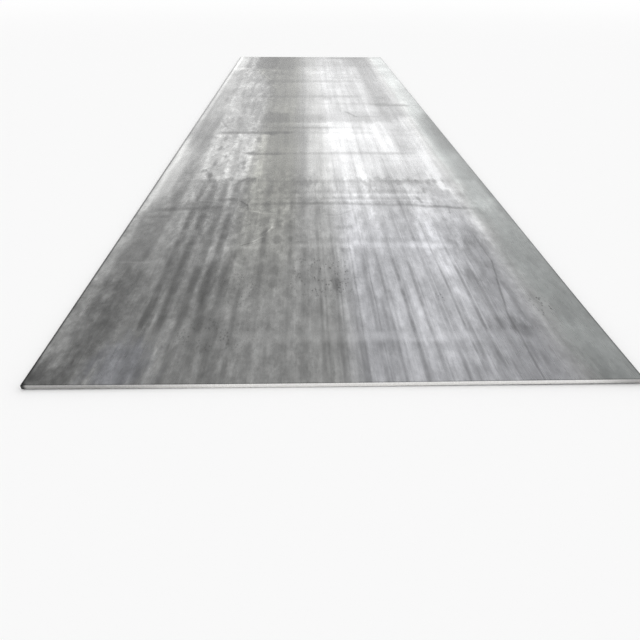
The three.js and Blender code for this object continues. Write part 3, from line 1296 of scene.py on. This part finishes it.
def mill_scale(name, finish, seed, marks):
    """Mill scale: its tone doubles the finish's own for each stop, up to a soft cap."""
    material, w, shader = new_material(name)
    scale = Scale(w, finish, seed)
    tone = (scale.broad_tones() + scale.spray_tones() + scale.fine_tones() + scale.creased_tones()
            + scale.painted_rim_shade())
    tone = scale.marked(tone, marks)
    shine = w.maths("POWER", 2.0, tone) * finish.tone
    capped = w.maths("SMOOTH_MIN", shine, BRIGHTEST, CAP_SOFTNESS)
    w.feed(shader.inputs["Base Color"], w.shaded(scale.tint(), capped))
    shader.inputs["Metallic"].default_value = 1.0
    rough = finish.roughness + 0.1 * scale.lines + 0.1 * scale.wisps
    w.feed(shader.inputs["Roughness"], rough)
    bump = w.add("ShaderNodeBump", 0.2, 1 * MM, None, scale.grit + scale.wisps)
    w.feed(shader.inputs["Normal"], bump)
    return material


def sheared_metal(name, finish):
    """Bare metal of the cut: a burnished land with upright rub lines over a torn, duller band."""
    material, w, shader = new_material(name)
    held = w.own_places()
    x, y, z = held.coordinates()
    lines = held.stretch(260.0, 260.0, 14.0).noise(3.0, 0.6)
    torn = held.stretch(300.0, 300.0, 300.0).noise(4.0, 0.6)
    level = (z + (torn - 0.5) * (3 * MM)).step(7 * MM, 9.5 * MM)
    grain = level.blend(torn, lines)
    # Painted shade: the cut darkens toward the plate's sides and most at the near left corner.
    swayed = x + (lines - 0.5) * 0.06
    dull = (swayed.step(PLATE_LOW[0] + 0.13, PLATE_LOW[0] + 0.53, finish.dull, 1.0)
            * swayed.step(PLATE_HIGH[0] - 0.15, PLATE_HIGH[0], 1.0, finish.dull))
    corner = shaded_corner_mask(x, y, *PLATE_LOW[:2]).blend(1.0, 0.12)
    grain_and_painted_shade = grain.step(0.25, 0.75, 0.86, 1.0) * dull * corner
    metal = w.blend_colour(level, finish.tear, finish.land)
    w.feed(shader.inputs["Base Color"], w.shaded(metal, grain_and_painted_shade))
    shader.inputs["Metallic"].default_value = 1.0
    w.feed(shader.inputs["Roughness"], level.blend(finish.roughness + 0.15, finish.roughness))
    w.feed(shader.inputs["Normal"], w.add("ShaderNodeBump", 0.4, 0.4 * MM, None, grain))
    return material


# --- Operators ----------------------------------------------------------------------------

WHITE = (1.0, 1.0, 1.0, 1.0)
CIRCLE_POINTS = 96
SENSOR_WIDTH = 36.0
CLIP_END = 400.0


def link(name, data):
    """A new object at the origin, in the scene."""
    thing = bpy.data.objects.new(name, data)
    bpy.context.scene.collection.objects.link(thing)
    return thing


class STEELPLATE_OT_plate(bpy.types.Operator):
    """Make the plate's surface and finish, in place of its plain solid"""

    bl_idname = "steelplate.plate"
    bl_label = "Plate"

    def execute(self, context):
        scene = context.scene
        make_groups()
        points, groups = plate_arrays(scene.plate_form, scene.plate_side_cut, scene.plate_end_cut)
        mesh = mesh_from("rolled_plate", points, groups)
        faces = [(zone, 0.0, marks_in(low, high)) for zone, low, high in ZONES]
        for face, seed, marks in (*faces, ("underside", UNDERSIDE_SEED, ())):
            scale = mill_scale(f"Mill scale, {face}", scene.plate_scale, seed, marks)
            mesh.materials.append(scale)
        mesh.materials.append(sheared_metal("Sheared metal", scene.plate_cut))
        plate = link("rolled_plate", mesh)
        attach(plate, "root")
        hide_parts(NODE)
        return {"FINISHED"}


def circle(radius):
    """Points of a level circle about the origin."""
    turn = np.linspace(0.0, 2 * math.pi, CIRCLE_POINTS + 1)[:-1]
    return np.stack((np.cos(turn), np.sin(turn), 0.0 * turn), axis=1) * radius


def aimed(position, heading, dip, tilt):
    """Where an eye stands: it looks along +Y, is turned right, dipped down and leaned left."""
    turn = Matrix.Rotation(-heading, 4, "Z") @ Matrix.Rotation(math.pi / 2 - dip, 4, "X")
    return Matrix.Translation(position) @ turn @ Matrix.Rotation(tilt, 4, "Z")


def matt(name, hue, roughness):
    """A matt paint that mirrors nothing: the material, its wiring and its shader."""
    paint, w, shader = new_material(name)
    shader.inputs["Base Color"].default_value = (*hue, 1.0)
    shader.inputs["Roughness"].default_value = roughness
    shader.inputs["Specular IOR Level"].default_value = 0.0
    return paint, w, shader


def pale_floor(studio):
    """A matt pale floor that turns white like the surround, away from the plate."""
    paint, w, shader = matt("Pale floor", studio.floor, 0.9)
    way = w.add("ShaderNodeVectorMath", w.own_places(), operation="LENGTH", out=1)
    away = way.step(studio.fade_start, studio.fade_end)
    rays = {ray.socket.name: ray for ray in w.outputs_of("ShaderNodeLightPath")}
    seen = w.maths("ADD", rays["Is Camera Ray"] + rays["Is Glossy Ray"],
                   rays["Is Transmission Ray"], clamp=True)
    white = w.add("ShaderNodeEmission", WHITE, 1.0)
    matt_floor = Value(w, shader.outputs[0])
    mixed = w.add("ShaderNodeMixShader", away * seen, matt_floor, white)
    w.feed(paint.node_tree.nodes["Material Output"].inputs["Surface"], mixed)
    return paint


def low_wall(studio):
    """A low grey wall round the stage, a circle raised to a height, that the camera doesn't see."""
    ring = circle(studio.flag_radius)
    points = np.concatenate((ring, ring + (0.0, 0.0, studio.flag_height)))
    here = np.arange(len(ring))
    after = np.roll(here, -1)
    faces = np.stack((after, here, here + len(ring), after + len(ring)), axis=1)
    mesh = bpy.data.meshes.new("low_wall")
    mesh.from_pydata(points.tolist(), [], faces.tolist())
    mesh.materials.append(matt("Grey flag", studio.flag, 1.0)[0])
    wall = link("low_wall", mesh)
    wall.visible_camera = False
    wall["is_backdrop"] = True


# Limits of the far lamps in degrees: left and right of straight on, then the foot and the head.
FAR_LAMPS = (
    ("far_left", -11.0, -3.6, 8.0, 17.0),
    ("far_right", -0.4, 9.5, 8.0, 17.0),
)


def far_lamp(studio, name, left, right, low, high):
    """A lamp past the far end, placed by where the plate mirrors it.

    The limits are angles as the camera sees them in the plate. Each one, taken from the camera's
    mirror image at the lamp's distance, gives one side of the lamp.
    """
    reach = studio.lamp_distance + studio.camera_back
    sides = [studio.camera_right + reach * math.tan(math.radians(a)) for a in (left, right)]
    ends = [reach * math.tan(math.radians(a)) - studio.camera_height for a in (low, high)]
    place = (sum(sides) / 2, PLATE_LOW[1] + studio.lamp_distance, sum(ends) / 2)
    ahead = (place[0], PLATE_LOW[1], place[2])
    width, height = sides[1] - sides[0], ends[1] - ends[0]
    return softbox(name, place, ahead, width, height, getattr(studio, name))


def softbox(name, centre, target, width, height, strength):
    """A rectangular lamp at a place, turned to face another, that the camera doesn't see."""
    lamp = bpy.data.lights.new(name, "AREA")
    lamp.shape = "RECTANGLE"
    lamp.size, lamp.size_y = width, height
    lamp.energy = strength * math.pi * width * height
    box = link(name, lamp)
    box.matrix_world = Matrix.Translation(centre) @ (
        Vector(target) - Vector(centre)).to_track_quat("-Z", "Y").to_matrix().to_4x4()
    box.visible_camera = False
    return box


class STEELPLATE_OT_stage(bpy.types.Operator):
    """Make the pale floor, the soft light and the camera"""

    bl_idname = "steelplate.stage"
    bl_label = "Stage"

    def execute(self, context):
        studio = context.scene.plate_studio
        rim = circle(studio.floor_radius)
        mesh = bpy.data.meshes.new("floor")
        mesh.from_pydata(rim.tolist(), [], [tuple(range(len(rim)))])
        mesh.materials.append(pale_floor(studio))
        link("floor", mesh)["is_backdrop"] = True

        low_wall(studio)

        world = bpy.data.worlds.new("White surround")
        world.use_nodes = True
        back = world.node_tree.nodes["Background"]
        back.inputs["Color"].default_value = WHITE
        back.inputs["Strength"].default_value = studio.sky
        context.scene.world = world

        for lamp in FAR_LAMPS:
            far_lamp(studio, *lamp)

        camera = bpy.data.cameras.new("Camera")
        camera.lens = studio.lens
        camera.sensor_width = SENSOR_WIDTH
        camera.clip_end = CLIP_END
        eye = link("Camera", camera)
        place = (studio.camera_right, PLATE_LOW[1] - studio.camera_back, studio.camera_height)
        eye.matrix_world = aimed(place, studio.heading, studio.dip, studio.tilt)
        context.scene.camera = eye
        context.scene.view_settings.view_transform = "Standard"
        return {"FINISHED"}


class STEELPLATE_PT_panel(bpy.types.Panel):
    """The plate's sizes, finishes and stage"""

    bl_label = "Steel plate"
    bl_idname = "STEELPLATE_PT_panel"
    bl_space_type = "VIEW_3D"
    bl_region_type = "UI"
    bl_category = "Steel plate"

    def draw(self, context):
        for name, title in SETTINGS:
            box = self.layout.box()
            box.label(text=title)
            group = getattr(context.scene, name)
            for key in group.__annotations__:
                box.prop(group, key)
        for operator in (STEELPLATE_OT_plate, STEELPLATE_OT_stage):
            self.layout.operator(operator.bl_idname)


SETTINGS = (
    ("plate_form", "Form"),
    ("plate_side_cut", "Side cut"),
    ("plate_end_cut", "End cut"),
    ("plate_scale", "Mill scale"),
    ("plate_cut", "Sheared metal"),
    ("plate_studio", "Studio"),
)
GROUP_TYPES = (PlateForm, SideCut, EndCut, ScaleFinish, CutFinish, Studio)
CLASSES = (*GROUP_TYPES, STEELPLATE_OT_plate, STEELPLATE_OT_stage, STEELPLATE_PT_panel)


def register():
    """Adds the classes and hangs each group of settings on the scene."""
    for cls in CLASSES:
        bpy.utils.register_class(cls)
    for (name, _), group in zip(SETTINGS, GROUP_TYPES):
        setattr(bpy.types.Scene, name, bpy.props.PointerProperty(type=group))


def unregister():
    """Takes away what register added."""
    for name, _ in SETTINGS:
        delattr(bpy.types.Scene, name)
    for cls in reversed(CLASSES):
        bpy.utils.unregister_class(cls)


def main():
    """Makes everything in order and works out the size of the frame and of the finished part."""
    register()
    bpy.ops.steelplate.stage()
    bpy.ops.steelplate.plate()
    low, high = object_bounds()
    ({"cad": [list(CAD_LOW), list(CAD_HIGH)],
               "visual": [[float(v) for v in low], [float(v) for v in high]]})


if __name__ == "__main__":
    main()
